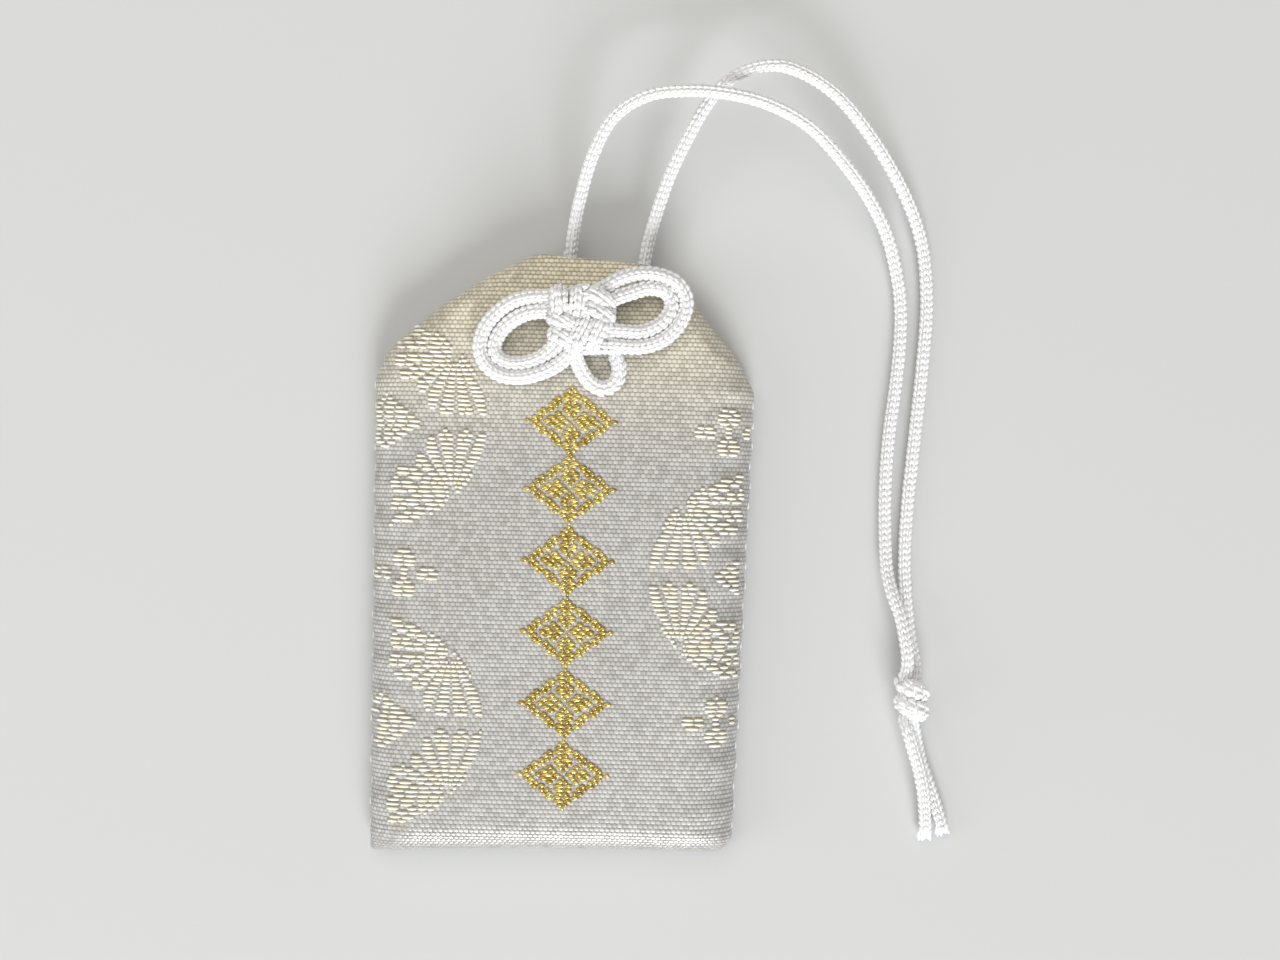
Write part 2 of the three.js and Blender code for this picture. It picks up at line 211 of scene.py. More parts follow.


# Plain weave: rows of bright dots, half a step apart from row to row, with painted shade between them, and
# painted warm light that makes the cloth lighter and warmer towards the mouth
def silverGround():
    material, net, shader = startMaterial(
        "silver ground", {"Metallic": clothLook["metallic"], "Sheen Weight": clothLook["sheen"]},
    )
    weave = net.node("ShaderNodeUVMap", {"uv_map": "weave"})
    split = net.node("ShaderNodeSeparateXYZ", None, [weave])
    row = split["Y"] / clothLook["weftPitch"]
    rowIndex = row.math("FLOOR")
    column = split["X"] / clothLook["dotPitch"] + (rowIndex * 0.5).math("FRACT")
    fromDot = (column.math("FRACT") - 0.5) * 2
    fromRow = (row.math("FRACT") - 0.5) * 2
    height = 1 - fromDot * fromDot * clothLook["endFall"] - fromRow * fromRow * clothLook["sideFall"]
    cell = net.node("ShaderNodeCombineXYZ", None, {"X": column.math("FLOOR"), "Y": rowIndex})
    glint = net.node("ShaderNodeTexWhiteNoise", {"noise_dimensions": "2D"}, {"Vector": cell})
    fleck = net.node(
        "ShaderNodeTexNoise", None,
        {"Vector": weave, "Scale": clothLook["fleckScale"], "Detail": clothLook["fleckDetail"]},
    )
    # the colour follows the height, so the lows between the dots are painted shade
    tone = height * (clothLook["leastGlint"] + glint["Value"] * clothLook["glint"])
    tone = tone + fleck["Fac"] * clothLook["fleck"] - clothLook["fleck"] / 2
    stops = [(clothLook["pitTone"], clothLook["pit"]), (clothLook["threadTone"], clothLook["thread"])]
    colour = net.node("ShaderNodeValToRGB", {"stops": stops}, [tone])
    # painted warm light: lighter and warmer towards the mouth
    upward = (split["Y"] - clothLook["warmFrom"]) / clothLook["warmOver"]
    upward = upward.math("MAXIMUM", 0).math("MINIMUM", 1)
    # The colour sockets of a Mix node share their names with others, so they go by number
    paintedLightColour = net.node(
        "ShaderNodeMix", {"data_type": "RGBA", "blend_type": "MULTIPLY"},
        {0: upward, 6: colour, 7: clothLook["warm"]}, 2,
    )
    net.plug(shader.inputs["Base Color"], paintedLightColour)
    pressed = (clothLook["pressedBelow"] - split["Y"]) / clothLook["pressedOver"]
    pressed = pressed.math("MAXIMUM", 0).math("MINIMUM", 1)
    net.plug(shader.inputs["Roughness"], clothLook["roughness"] - pressed * clothLook["smoother"])
    bump = net.node("ShaderNodeBump", None, {
        "Strength": clothLook["bumpStrength"], "Distance": clothLook["bumpHeight"], "Height": height,
    })
    net.plug(shader.inputs["Normal"], bump)
    return material


fibreLook = {"scale": 5200.0, "detail": 2.0, "strength": 0.3, "height": 0.00005}
darkestFloat = 0.3   # tone of the darkest thread on top; the dark threads of painted shade in the gaps have 0


# Thread of one colour, or of three by the attribute tone: a dark thread of painted shade in a gap, a dark
# float and a light one
def threadLook(name, colours, settings):
    material, net, shader = startMaterial(name, {"Base Color": colours[0], **settings})
    if len(colours) > 1:
        tone = net.node("ShaderNodeAttribute", {"attribute_name": "tone"}, None, "Fac")
        stops = [(0.0, colours[0]), (darkestFloat, colours[1]), (1.0, colours[2])]
        ramp = net.node("ShaderNodeValToRGB", {"stops": stops}, [tone])
        net.plug(shader.inputs["Base Color"], ramp)
    place = net.node("ShaderNodeTexCoord")["Object"]
    fibre = net.node(
        "ShaderNodeTexNoise", None,
        {"Vector": place, "Scale": fibreLook["scale"], "Detail": fibreLook["detail"]},
    )
    bump = net.node("ShaderNodeBump", None, {
        "Strength": fibreLook["strength"], "Distance": fibreLook["height"], "Height": fibre["Fac"],
    })
    net.plug(shader.inputs["Normal"], bump)
    return material


groundCloth = silverGround()
ivorySilk = threadLook(
    # the first colour is painted shade, for the threads in the gaps between rows
    "ivory silk", [(0.30, 0.26, 0.17, 1), (0.90, 0.86, 0.71, 1), (0.98, 0.97, 0.91, 1)],
    {"Roughness": 0.28, "Sheen Weight": 0.2},
)
goldThread = threadLook(
    "gold thread", [(0.30, 0.18, 0.03, 1), (0.40, 0.28, 0.05, 1), (0.74, 0.585, 0.19, 1)],
    {"Roughness": 0.25, "Metallic": 0.65},
)
cordSilk = threadLook(
    "white cord", [(0.96, 0.965, 0.98, 1)],
    {
        "Roughness": 0.27, "Sheen Weight": 0.2,
        "Subsurface Weight": 0.45, "Subsurface Radius": (1, 1, 1), "Subsurface Scale": 0.0005,
    },
)
tipSilk = threadLook("heat-set tip", [(0.90, 0.93, 0.98, 1)], {"Roughness": 0.25})
seamThread = threadLook("seam thread", [(0.80, 0.79, 0.75, 1)], {"Roughness": 0.6})
print("materials ready")


# Pouch, in millimetres until its mesh is made

pouch = {
    "leftBottom": (-21.9, -35.6), "leftShoulder": (-22.6, 20.4), "leftMouth": (-4.3, 35.6),
    "leftBend": ((-22.7, 24.9), (-10.0, 33.4)),
    "rightBottom": (21.2, -34.8), "rightShoulder": (22.6, 19.0), "rightMouth": (11.4, 34.4),
    "rightBend": ((22.7, 23.2), (14.3, 30.6)),
    "bellyHeight": 5.2, "mouthHeight": 4.7, "seamHeight": 1.8,
    "bottomSag": 0.4, "sagRows": 0.5,
    "foldRadius": 3.2, "bellyEdge": 6.0, "mouthEdge": 2.6, "backEdge": 1.6,
    "wall": 0.6, "seamInset": 1.2,
    "bulge": 0.5, "bulgeCentre": -4, "bulgeReach": 40, "cornerLeft": 0.7, "cornerRight": 2.6,
    # Puckers along the side seams: how far they draw the edge in and lift the front, and how they wander
    "puckerPitch": 4.1, "puckerDepth": 0.24, "puckerReach": 2.6, "puckerStart": 4,
    "puckerIn": 0.4, "puckerLift": 1.5, "puckerRound": 2.0, "puckerWander": (0.37, 1.4),
    # Soft unevenness of the front: its height, then for each wave the steps across and along, and the shift
    "uneven": 0.05, "waves": ((0.33, 0.11, 0.0), (-0.15, 0.27, 1.3), (0.21, -0.19, 2.1)),
    "columns": 132, "evenColumns": 0.6, "rowStep": 0.62, "innerStep": 6.0, "gableLength": 18,
    "foldRows": (0, 0.03, 0.1, 0.2, 0.32, 0.46, 0.62, 0.8),   # closer where the fold turns
}
bodyLength = pouch["leftShoulder"][1] - pouch["leftBottom"][1]


def mix(a, b, share):
    return a + (b - a) * share


def roundOff(distance, radius):
    share = np.clip(distance / radius, 0, 1)
    return np.sqrt(1 - (1 - share) ** 2)


def edgeLine(side, row):
    bottom = np.array(pouch[side + "Bottom"])
    shoulder = np.array(pouch[side + "Shoulder"])
    mouth = np.array(pouch[side + "Mouth"])
    first, second = (np.array(point) for point in pouch[side + "Bend"])
    row = np.asarray(row, float)[..., None]
    t = np.clip(row - 1, 0, 1)
    gable = (1 - t) ** 3 * shoulder + 3 * (1 - t) ** 2 * t * first
    gable = gable + 3 * (1 - t) * t ** 2 * second + t ** 3 * mouth
    edge = np.where(row > 1, gable, mix(bottom, shoulder, row))
    corner = pouch["cornerLeft"] if side == "left" else pouch["cornerRight"]
    drawIn = corner * (1 - roundOff(row[..., 0] * bodyLength, corner))
    edge[..., 0] += drawIn if side == "left" else -drawIn
    return edge


# Place on the cloth at a row (0 bottom fold, 1 shoulders, 2 mouth) and a share of the width.
# With an inset it is the inner face.
def clothPoint(row, share, inset=0.0, front=True):
    row, share = np.broadcast_arrays(np.asarray(row, float), np.asarray(share, float))
    left, right = edgeLine("left", row), edgeLine("right", row)
    wall = pouch["wall"] if inset > 0 else 0.0
    rise = np.clip(row - 1, 0, 1)
    width = right[..., 0] - left[..., 0] - 2 * inset
    x = left[..., 0] + inset + width * share
    sag = pouch["bottomSag"] * np.clip(1 - row / pouch["sagRows"], 0, 1)
    y = mix(left[..., 1], right[..., 1], share) + 4 * sag * share * (1 - share)
    fromSide = width * np.minimum(share, 1 - share)
    fromBottom = row * bodyLength - inset
    tug = np.exp(-fromSide / pouch["puckerReach"])
    tug = tug * np.clip(fromBottom / pouch["puckerStart"], 0, 1) * (inset == 0)
    wanderStep, wander = pouch["puckerWander"]
    wave = np.cos(2 * math.pi * y / pouch["puckerPitch"] + np.sin(y * wanderStep) * wander)
    x = x - np.sign(share - 0.5) * tug * pouch["puckerDepth"] * pouch["puckerIn"] * (1 - wave)
    if not front:
        flat = roundOff(fromSide, pouch["backEdge"]) * roundOff(fromBottom, pouch["backEdge"])
        return np.stack([x, y, wall + (pouch["seamHeight"] - wall) * (1 - flat)], -1)
    crown = mix(pouch["bellyHeight"], pouch["mouthHeight"], rise) - wall
    crownEdge = mix(pouch["bellyEdge"], pouch["mouthEdge"], np.sqrt(rise)) - inset / 2
    full = roundOff(fromSide, crownEdge) * roundOff(fromBottom, pouch["foldRadius"] - inset / 2)
    fromCentre = (y - pouch["bulgeCentre"]) / pouch["bulgeReach"]
    crown = crown + pouch["bulge"] * (1 - fromCentre ** 2) * (inset == 0)
    z = pouch["seamHeight"] + (crown - pouch["seamHeight"]) * full
    soft = sum(np.sin(x * across + y * along + shift) for across, along, shift in pouch["waves"])
    lift = tug * pouch["puckerDepth"] * pouch["puckerLift"] * wave
    lift = lift * roundOff(fromSide, pouch["puckerRound"])
    z = z + (pouch["uneven"] * soft + lift) * full
    return np.stack([x, y, z], -1)


# Length of cloth below the fold's start, so that the weave runs on round the fold
foldRow = pouch["foldRadius"] / bodyLength
foldRows = np.linspace(0, foldRow, 40)
foldLine = clothPoint(foldRows, 0.5)
foldStep = np.linalg.norm(np.diff(foldLine[:, 1:], axis=0), axis=1)
foldBelow = np.concatenate([[0], np.cumsum(foldStep)])
foldBelow = foldBelow[-1] - foldBelow


def weaveRow(row, share):
    y = clothPoint(np.maximum(row, foldRow), share)[..., 1]
    return y - np.interp(row, foldRows, foldBelow)


def pouchRows(inset, step):
    start = inset / bodyLength
    fold = start + foldRow * np.array(pouch["foldRows"])
    body = np.linspace(start + foldRow, 1, int(bodyLength / step))
    gable = 1 + np.linspace(0, 1, int(pouch["gableLength"] / step) + 1)[1:]
    return np.concatenate([fold, body, gable])


# Distance along the cloth across one row, so that the weave keeps its size on the steep sides
def acrossRow(points):
    run = np.concatenate([[0], np.cumsum(np.linalg.norm(np.diff(points[:, [0, 2]], axis=0), axis=1))])
    middle = len(points) // 2
    return points[middle, 0] + run - run[middle]


def pouchMesh():
    columns = pouch["columns"]
    share = (1 - np.cos(np.linspace(0, math.pi, columns + 1))) / 2
    share = mix(share, np.linspace(0, 1, columns + 1), pouch["evenColumns"])
    rings, weave = [], []
    # Up the outer cloth to the mouth, then down the inner one
    for inset, step in ((0.0, pouch["rowStep"]), (pouch["seamInset"], pouch["innerStep"])):
        rows = pouchRows(inset, step)
        for row in rows if inset == 0 else rows[::-1]:
            rowLine = np.full(columns + 1, row)
            front = clothPoint(rowLine, share, inset, True)
            back = clothPoint(rowLine, share, inset, False)
            rings.append(np.concatenate([front, back[-2:0:-1]]))
            vFront = weaveRow(rowLine, share)
            vBack = 2 * weaveRow(np.zeros(columns + 1), share) - vFront
            weave.append((acrossRow(front), vFront, acrossRow(back), vBack))
    count = 2 * columns
    points = np.concatenate(rings) * mm
    faces, corners = [], []
    for ring in range(len(rings) - 1):
        uF, vF, uB, vB = weave[ring]
        uF2, vF2, uB2, vB2 = weave[ring + 1]
        for k in range(count):
            a = ring * count + k
            b = ring * count + (k + 1) % count
            faces.append((a, b, b + count, a + count))
            if k < columns:
                i, j = k, k + 1
                corners += [(uF[i], vF[i]), (uF[j], vF[j]), (uF2[j], vF2[j]), (uF2[i], vF2[i])]
            else:
                i, j = count - k, count - k - 1
                corners += [(uB[i], vB[i]), (uB[j], vB[j]), (uB2[j], vB2[j]), (uB2[i], vB2[i])]
    made = meshObject("pouchCloth", points, faces, groundCloth)
    layer = made.data.uv_layers.new(name="weave")
    layer.data.foreach_set("uv", np.ravel(corners).astype(np.float32))
    return made


pouchCloth = pouchMesh()
print("pouch triangles:", 2 * len(pouchCloth.data.polygons))


# Woven figures: rows of floating threads on the cloth, in millimetres

figures = {
    "span": (-22.5, 22.5), "rowPitch": 0.51,
    "roundels": ((-20.9, 15.3), (-20.6, -19.8), (22.5, -2.0)), "radius": 12.1,
    "apex": 8.2, "fingerPitch": 18.6, "slitHalf": 1.6, "joined": 3.2,
    "innerRadius": 5.5, "splitHalf": 0.75, "tipRound": 3.6,
    "lozengeWide": 4.6, "lozengeTall": 3.4,
    "florets": ((-18.2, -2.5), (19.5, 14.9), (18.8, -19.0)),
    "petal": (1.5, 1.15), "petalAway": 1.75,
    "sidePetal": (1.4, 0.85), "sideAway": 2.8, "neck": 0.45,
    "threadWide": 0.37, "threadHigh": 0.46, "longest": 1.7, "gapShare": 0.45,
}
gold = {
    "span": (-6.0, 8.0), "rowPitch": 0.44,
    "centreLine": 1.0, "top": 16.1, "pitch": 8.3, "count": 6,
    "halfWide": 5.3, "halfTall": 4.1, "stroke": 0.28, "cell": 0.44,
    "petalAcross": (1.7, 1.5, 1.2), "petalAlong": (1.55, 1.35, 1.2),   # away, half long, half wide
    "threadWide": 0.56, "threadHigh": 0.42, "longest": 1.3, "gapShare": 0,
}
weaving = {
    "rows": (-36.0, 36.0), "fine": 0.06, "shortest": 0.3,
    "cutDrift": 0.25, "rowDrift": 0.05, "overlap": 1.05, "seed": 7,
    "withinShare": (0.012, 0.988), "withinRow": (0.002, 1.985),   # keeps threads off the cloth's edges
}


# Which run of thread a place on the cloth belongs to: 0 for bare ground, another number for each form
def ivoryRun(x, v):
    run = np.zeros_like(x)
    for centreX, centreV in figures["roundels"]:
        dx, dy = np.abs(x - centreX), np.abs(v - centreV)
        fromApex = np.hypot(figures["apex"] - dx, figures["apex"] - dy)
        fan = np.degrees(np.arctan2(figures["apex"] - dx, figures["apex"] - dy)) - 45
        finger = np.floor(fan / figures["fingerPitch"] + 0.5)
        offFinger = np.abs(fan / figures["fingerPitch"] - finger)
        slit = (0.5 - offFinger) * figures["fingerPitch"] < figures["slitHalf"]
        slit &= fromApex > figures["joined"]
        tip = figures["tipRound"] * offFinger ** 2
        away = np.hypot(dx, dy)
        spray = (away < figures["radius"]) & (away > figures["innerRadius"] + tip)
        spray &= (np.minimum(dx, dy) > figures["splitHalf"] + tip) & ~slit
        lozenge = dx / figures["lozengeWide"] + dy / figures["lozengeTall"] < 1
        run = np.where(spray, 20 + finger, run)
        run = np.where(lozenge, 40, run)
    for centreX, centreV in figures["florets"]:
        dx, dy = np.abs(x - centreX), np.abs(v - centreV)
        petalX, petalY = figures["petal"]
        upright = (dx / petalX) ** 2 + ((dy - figures["petalAway"]) / petalY) ** 2 < 1
        upright |= (dx < figures["neck"]) & (dy < figures["petalAway"])
        sideX, sideY = figures["sidePetal"]
        sideways = ((dx - figures["sideAway"]) / sideX) ** 2 + (dy / sideY) ** 2 < 1
        run = np.where(upright, 41, np.where(sideways, 42 + (x > centreX), run))
    return run


def goldRun(x, v):
    flower = np.clip(np.round((gold["top"] - v) / gold["pitch"]), 0, gold["count"] - 1)
    dy = np.abs(v - gold["top"] + flower * gold["pitch"])
    dx = np.abs(x - gold["centreLine"])
    cell = gold["cell"]
    sx, sy = np.round(dx / cell) * cell, np.round(dy / cell) * cell
    halfStroke = gold["stroke"] / 2
    rim = np.abs(sx / gold["halfWide"] + sy / gold["halfTall"] - 1 + halfStroke) < halfStroke
    away, halfLong, halfWide = gold["petalAcross"]
    petalAcross = np.abs(sx - away) / halfLong + sy / halfWide < 1
    away, halfLong, halfWide = gold["petalAlong"]
    petalAlong = np.abs(sy - away) / halfLong + sx / halfWide < 1
    return np.where(rim | petalAcross | petalAlong, 1, 0)


# Row and share of the width for a distance across and a distance along the weave, found by halving
def onCloth(x, v, halvings=36):
    low, high = np.zeros_like(x), np.full_like(x, 2.0)
    for _ in range(halvings):
        middle = (low + high) / 2
        left, right = edgeLine("left", middle)[..., 0], edgeLine("right", middle)[..., 0]
        share = np.clip((x - left) / (right - left), 0, 1)
        below = weaveRow(middle, share) < v
        low, high = np.where(below, middle, low), np.where(below, high, middle)
    left, right = edgeLine("left", low)[..., 0], edgeLine("right", low)[..., 0]
    share = (x - left) / (right - left)
    return low, share


def clothFrame(row, share, front):
    shift = 0.002

    def place(rowShift, shareShift):
        return clothPoint(np.clip(row + rowShift, 0, 2), np.clip(share + shareShift, 0, 1), 0.0, front)

    here = clothPoint(row, share, 0.0, front)
    along = place(0, shift) - place(0, -shift)
    up = place(shift, 0) - place(-shift, 0)
    along /= np.linalg.norm(along, axis=-1, keepdims=True)
    normal = np.cross(along, up) if front else np.cross(up, along)
    normal /= np.linalg.norm(normal, axis=-1, keepdims=True)
    return here, along, normal


# Splits every row of the weave into threads, each no longer than the binding allows
def floats(runAt, look):
    found = []
    chance = np.random.default_rng(weaving["seed"])
    (lowest, highest), fine = weaving["rows"], weaving["fine"]
    for index in range(int((highest - lowest) / look["rowPitch"])):
        v = lowest + index * look["rowPitch"]
        x = np.arange(*look["span"], fine)
        run = runAt(x, np.full_like(x, v))
        breaks = np.flatnonzero(np.diff(run)) + 1
        for piece in np.split(np.arange(len(x)), breaks):
            if run[piece[0]] == 0:
                continue
            start, end = x[piece[0]], x[piece[-1]] + fine
            if end - start < weaving["shortest"]:
                continue
            parts = max(1, math.ceil((end - start) / look["longest"]))
            cuts = np.linspace(start, end, parts + 1)
            drift = chance.uniform(-weaving["cutDrift"], weaving["cutDrift"], parts - 1)
            cuts[1:-1] += drift * (end - start) / parts
            for a, b in zip(cuts[:-1], cuts[1:]):
                height = v + chance.uniform(-weaving["rowDrift"], weaving["rowDrift"])
                found.append(((a + b) / 2, height, b - a, chance.uniform(darkestFloat, 1)))
    return np.array(found)


# One thread or stitch before its size is set: a ball with its poles at its two ends
def threadBall(net, sides):
    ball = net.node("GeometryNodeMeshUVSphere", None, {"Segments": sides, "Rings": 4, "Radius": 0.5})
    turned = net.node("GeometryNodeTransform", None, {"Geometry": ball, "Rotation": (0, math.pi / 2, 0)})
    return net.smooth(turned)


def threadRecipe():
    net = Recipe("floating threads", ["Thread Wide", "Thread High"])
    facing = net.node(
        "FunctionNodeAxesToRotation", {"primary_axis": "Z", "secondary_axis": "X"},
        {
            "Primary Axis": net.named("normal", "FLOAT_VECTOR"),
            "Secondary Axis": net.named("along", "FLOAT_VECTOR"),
        },
    )
    share = net.named("share", "FLOAT")
    size = net.node(
        "ShaderNodeCombineXYZ", None,
        {
            "X": net.named("length", "FLOAT"), "Y": net.start["Thread Wide"] * share,
            "Z": net.start["Thread High"] * share,
        },
    )
    net.close(net.node(
        "GeometryNodeInstanceOnPoints", None,
        {
            "Points": net.start["Geometry"], "Instance": threadBall(net, sides=8),
            "Rotation": facing, "Scale": size,
        },
    ))
    return net


threads = threadRecipe()


# Floats of one colour, and above each of them a dark thread of painted shade in the gap to the next row
def weaveFigure(name, runAt, look, material, front=True):
    found = floats(runAt, look)
    shares = np.ones(len(found))
    if look["gapShare"] > 0:
        # dark threads of painted shade in the gaps between the rows, with tone 0
        between = found + (0, look["rowPitch"] / 2, 0, 0)
        between[:, 3] = 0
        found = np.concatenate([found, between])
        shares = np.concatenate([shares, shares * look["gapShare"]])
    row, share = onCloth(found[:, 0], found[:, 1])
    (shareFrom, shareTo), (rowFrom, rowTo) = weaving["withinShare"], weaving["withinRow"]
    inside = (share > shareFrom) & (share < shareTo) & (row > rowFrom) & (row < rowTo)
    here, along, normal = clothFrame(row[inside], share[inside], front)
    guide = pointMesh(name + "Points", here * mm, [], {
        "normal": normal, "along": along, "length": found[inside, 2] * mm * weaving["overlap"],
        "share": shares[inside], "tone": found[inside, 3],
    })
    return threads.make(name, guide, {
        "Thread Wide": look["threadWide"] * mm, "Thread High": look["threadHigh"] * mm,
        "Material": material,
    })


ivoryFigures = weaveFigure("ivoryFigures", ivoryRun, figures, ivorySilk)
goldFigures = weaveFigure("goldFigures", goldRun, gold, goldThread)
backLook = {**figures, "threadHigh": 0.08, "gapShare": 0}   # pressed flat by what the charm lies on
backFigures = weaveFigure("backFigures", ivoryRun, backLook, ivorySilk, front=False)


# Cord: a fine knitted cord, columns of small V stitches round a core

cord = {
    "diameter": 1.8 * mm, "girth": 0.92, "lean": 0.2,
    "wales": 5, "waleRadius": 0.63 * mm, "spread": 0.18,
    "stitchPitch": 0.76 * mm, "stitchLong": 0.92 * mm, "stitchWide": 0.43 * mm, "stitchHigh": 0.48 * mm,
    "coreRadius": 0.66 * mm, "coreSides": 8, "samplesPerStitch": 4, "stepsPerPoint": 24,
    "rise": 0.4,   # share of a stitch by which the wales start lower, since they climb round the cord
    "leastStretch": 0.75, "mostStretch": 1.25,   # stitches inside and outside a bend
    "straighter": 2.5, "sharpBend": 500,   # of drawn stitches, and the bend in 1/m that a pressed cord follows
    "leftRoot": 60, "rightRoot": 160,   # samples of each end that bend at the mouth
}
cordStep = cord["stitchPitch"] / cord["samplesPerStitch"]


# Centripetal Catmull-Rom line through the points, sampled at even steps
def smoothLine(points):
    points = np.array(points, float)
    first, last = 2 * points[0] - points[1], 2 * points[-1] - points[-2]
    padded = np.concatenate([[first], points, [last]])
    line = []
    for index in range(len(points) - 1):
        p = padded[index:index + 4]
        knot = np.concatenate([[0], np.cumsum(np.sqrt(np.linalg.norm(np.diff(p, axis=0), axis=1)))])
        t = np.linspace(knot[1], knot[2], cord["stepsPerPoint"], endpoint=False)[:, None]

        def blendTwo(a, b, i, j):
            return ((knot[j] - t) * a + (t - knot[i]) * b) / (knot[j] - knot[i])

        a1, a2, a3 = (blendTwo(p[i], p[i + 1], i, i + 1) for i in range(3))
        line.append(blendTwo(blendTwo(a1, a2, 0, 2), blendTwo(a2, a3, 1, 3), 1, 2))
    line = np.concatenate(line + [points[-1:]])
    run = np.concatenate([[0], np.cumsum(np.linalg.norm(np.diff(line, axis=0), axis=1))])
    even = np.linspace(0, run[-1], int(run[-1] / cordStep) + 1)
    return np.stack([np.interp(even, run, line[:, axis]) for axis in range(3)], 1), run[-1]


def knitRecipe():
    sizes = [
        "Wale Radius", "Spread", "Lean", "Stitch Pitch", "Stitch Long", "Stitch Wide", "Stitch High",
        "Core Radius",
    ]
    net = Recipe("knitted cord", sizes, ["Wales", "Samples Per Stitch"])
    # Every few samples of the line carry a row of stitches, two legs for each wale
    line = net.node("GeometryNodeMeshToCurve", None, {"Mesh": net.start["Geometry"]})
    samples = net.node("GeometryNodeCurveToPoints", {"mode": "EVALUATED"}, {"Curve": line})
    place = net.node("GeometryNodeInputIndex").math("MODULO", net.start["Samples Per Stitch"])
    rows = net.node(
        "GeometryNodeDeleteGeometry", {"domain": "POINT"},
        {"Geometry": samples, "Selection": place.math("GREATER_THAN", 0.5)},
    )
    legs = net.node(
        "GeometryNodeDuplicateElements", {"domain": "POINT"},
        {"Geometry": rows, "Amount": net.start["Wales"] * 2},
    )
    count = legs["Duplicate Index"]
    wale = (count / 2).math("FLOOR")
    way = count.math("MODULO", 2) * 2 - 1
    angle = (wale + way * net.start["Spread"]) * (2 * math.pi) / net.start["Wales"]
    tangent, normal = samples["Tangent"], samples["Normal"]
    side = net.vectorMath("CROSS_PRODUCT", tangent, normal)
    outward = net.vectorMath(
        "ADD", net.scaled(normal, angle.math("COSINE")), net.scaled(side, angle.math("SINE")),
    )
    around = net.vectorMath("CROSS_PRODUCT", tangent, outward)
    drawn = net.named("drawn", "FLOAT")
    lean = net.start["Lean"] * (1 - drawn * cord["straighter"])
    legWay = net.vectorMath(
        "ADD", net.scaled(tangent, lean.math("COSINE")), net.scaled(around, lean.math("SINE") * way),
    )
    girth = net.named("girth", "FLOAT")
    press = net.named("press", "FLOAT")
    pressAxis = net.named("pressAxis", "FLOAT_VECTOR")
    offset = net.scaled(outward, net.start["Wale Radius"] * girth)
    through = net.vectorMath("DOT_PRODUCT", offset, pressAxis, output="Value")
    flatter = net.scaled(pressAxis, through * press * -1)
    inward = net.vectorMath("DOT_PRODUCT", offset, net.named("bend", "FLOAT_VECTOR"), output="Value")
    stretch = (1 - inward).math("MAXIMUM", cord["leastStretch"]).math("MINIMUM", cord["mostStretch"])
    climb = (wale / net.start["Wales"] - cord["rise"]) * net.start["Stitch Pitch"] * stretch
    onward = net.scaled(tangent, climb)
    moved = net.vectorMath("ADD", net.vectorMath("ADD", offset, flatter), onward)
    placed = net.node("GeometryNodeSetPosition", None, {"Geometry": legs, "Offset": moved})
    facing = net.node(
        "FunctionNodeAxesToRotation", {"primary_axis": "Z", "secondary_axis": "X"},
        {"Primary Axis": outward, "Secondary Axis": legWay},
    )
    size = net.node(
        "ShaderNodeCombineXYZ", None,
        {
            "X": net.start["Stitch Long"] * (1 + drawn) * stretch, "Y": net.start["Stitch Wide"] * girth,
            "Z": net.start["Stitch High"] * girth,
        },
    )
    stitches = net.node(
        "GeometryNodeInstanceOnPoints", None,
        {"Points": placed, "Instance": threadBall(net, sides=6), "Rotation": facing, "Scale": size},
    )
    coreRound = net.node(
        "GeometryNodeCurvePrimitiveCircle", None,
        {"Resolution": cord["coreSides"], "Radius": net.start["Core Radius"]},
    )
    core = net.smooth(net.node(
        "GeometryNodeCurveToMesh", None,
        {"Curve": line, "Profile Curve": coreRound, "Scale": girth * (1 - press), "Fill Caps": True},
    ))
    joined = net.node("GeometryNodeJoinGeometry")
    for part in (stitches, core):
        net.tree.links.new(part.socket, joined.socket.node.inputs[0])
    net.close(joined)
    return net


knit = knitRecipe()


def unit(vectors):
    return vectors / np.maximum(np.linalg.norm(vectors, axis=1, keepdims=True), 1e-6)


# tightAt goes from 0, free, to 1, tight in a knot. There the cord is fuller, its stitches are drawn long,
# and it is pressed flat along its bend, or along the pouch's thickness where it is straight.
def knitCord(
    name, line, girth=cord["girth"], lean=cord["lean"], tightAt=None, pressed=0.0, fuller=0.0, drawn=0.0,
):
    tangent = np.gradient(line, axis=0)
    tangent /= np.linalg.norm(tangent, axis=1, keepdims=True)
    bend = np.gradient(tangent, axis=0) / cordStep
    sharp = np.clip(np.linalg.norm(bend, axis=1) / cord["sharpBend"], 0, 1)[:, None]
    out = np.array([0.0, 0.0, 1.0])
    sense = np.where(bend @ out < 0, -1.0, 1.0)[:, None]
    axis = unit(bend) * sense * sharp + out * (1 - sharp)
    axis -= tangent * np.sum(axis * tangent, axis=1, keepdims=True)
    axis = unit(axis)
    tight = np.zeros(len(line)) if tightAt is None else tightAt(line)
    edges = [(index, index + 1) for index in range(len(line) - 1)]
    guide = pointMesh(name + "Line", line, edges, {
        "bend": bend, "pressAxis": axis, "press": pressed * tight, "drawn": drawn * tight,
        "girth": girth * (1 + fuller * tight),
    })
    return knit.make(name, guide, {
        "Wales": cord["wales"], "Wale Radius": cord["waleRadius"], "Spread": cord["spread"], "Lean": lean,
        "Stitch Pitch": cord["stitchPitch"], "Stitch Long": cord["stitchLong"],
        "Stitch Wide": cord["stitchWide"], "Stitch High": cord["stitchHigh"],
        "Core Radius": cord["coreRadius"], "Samples Per Stitch": cord["samplesPerStitch"],
        "Material": cordSilk,
    })


# Bow knot: two lanes of cord in a four-band pinwheel. Right, up and out from its centre, in millimetres.
bow = {
    "centre": (2.0, 27.7, 5.1),
    "back": 0.95, "under": 1.8, "middle": 2.3, "front": 3.65, "return": 0.7,
    "laneR": (0.0, 1.7), "laneB": (1.95, 0.0), "laneL": (0.0, -1.72),
    "girth": 1.08, "lean": 0.3, "pressed": 0.42, "fuller": 0.22, "drawn": 0.12,
    "tightWithin": 4.2, "tightOver": 1.2,
}


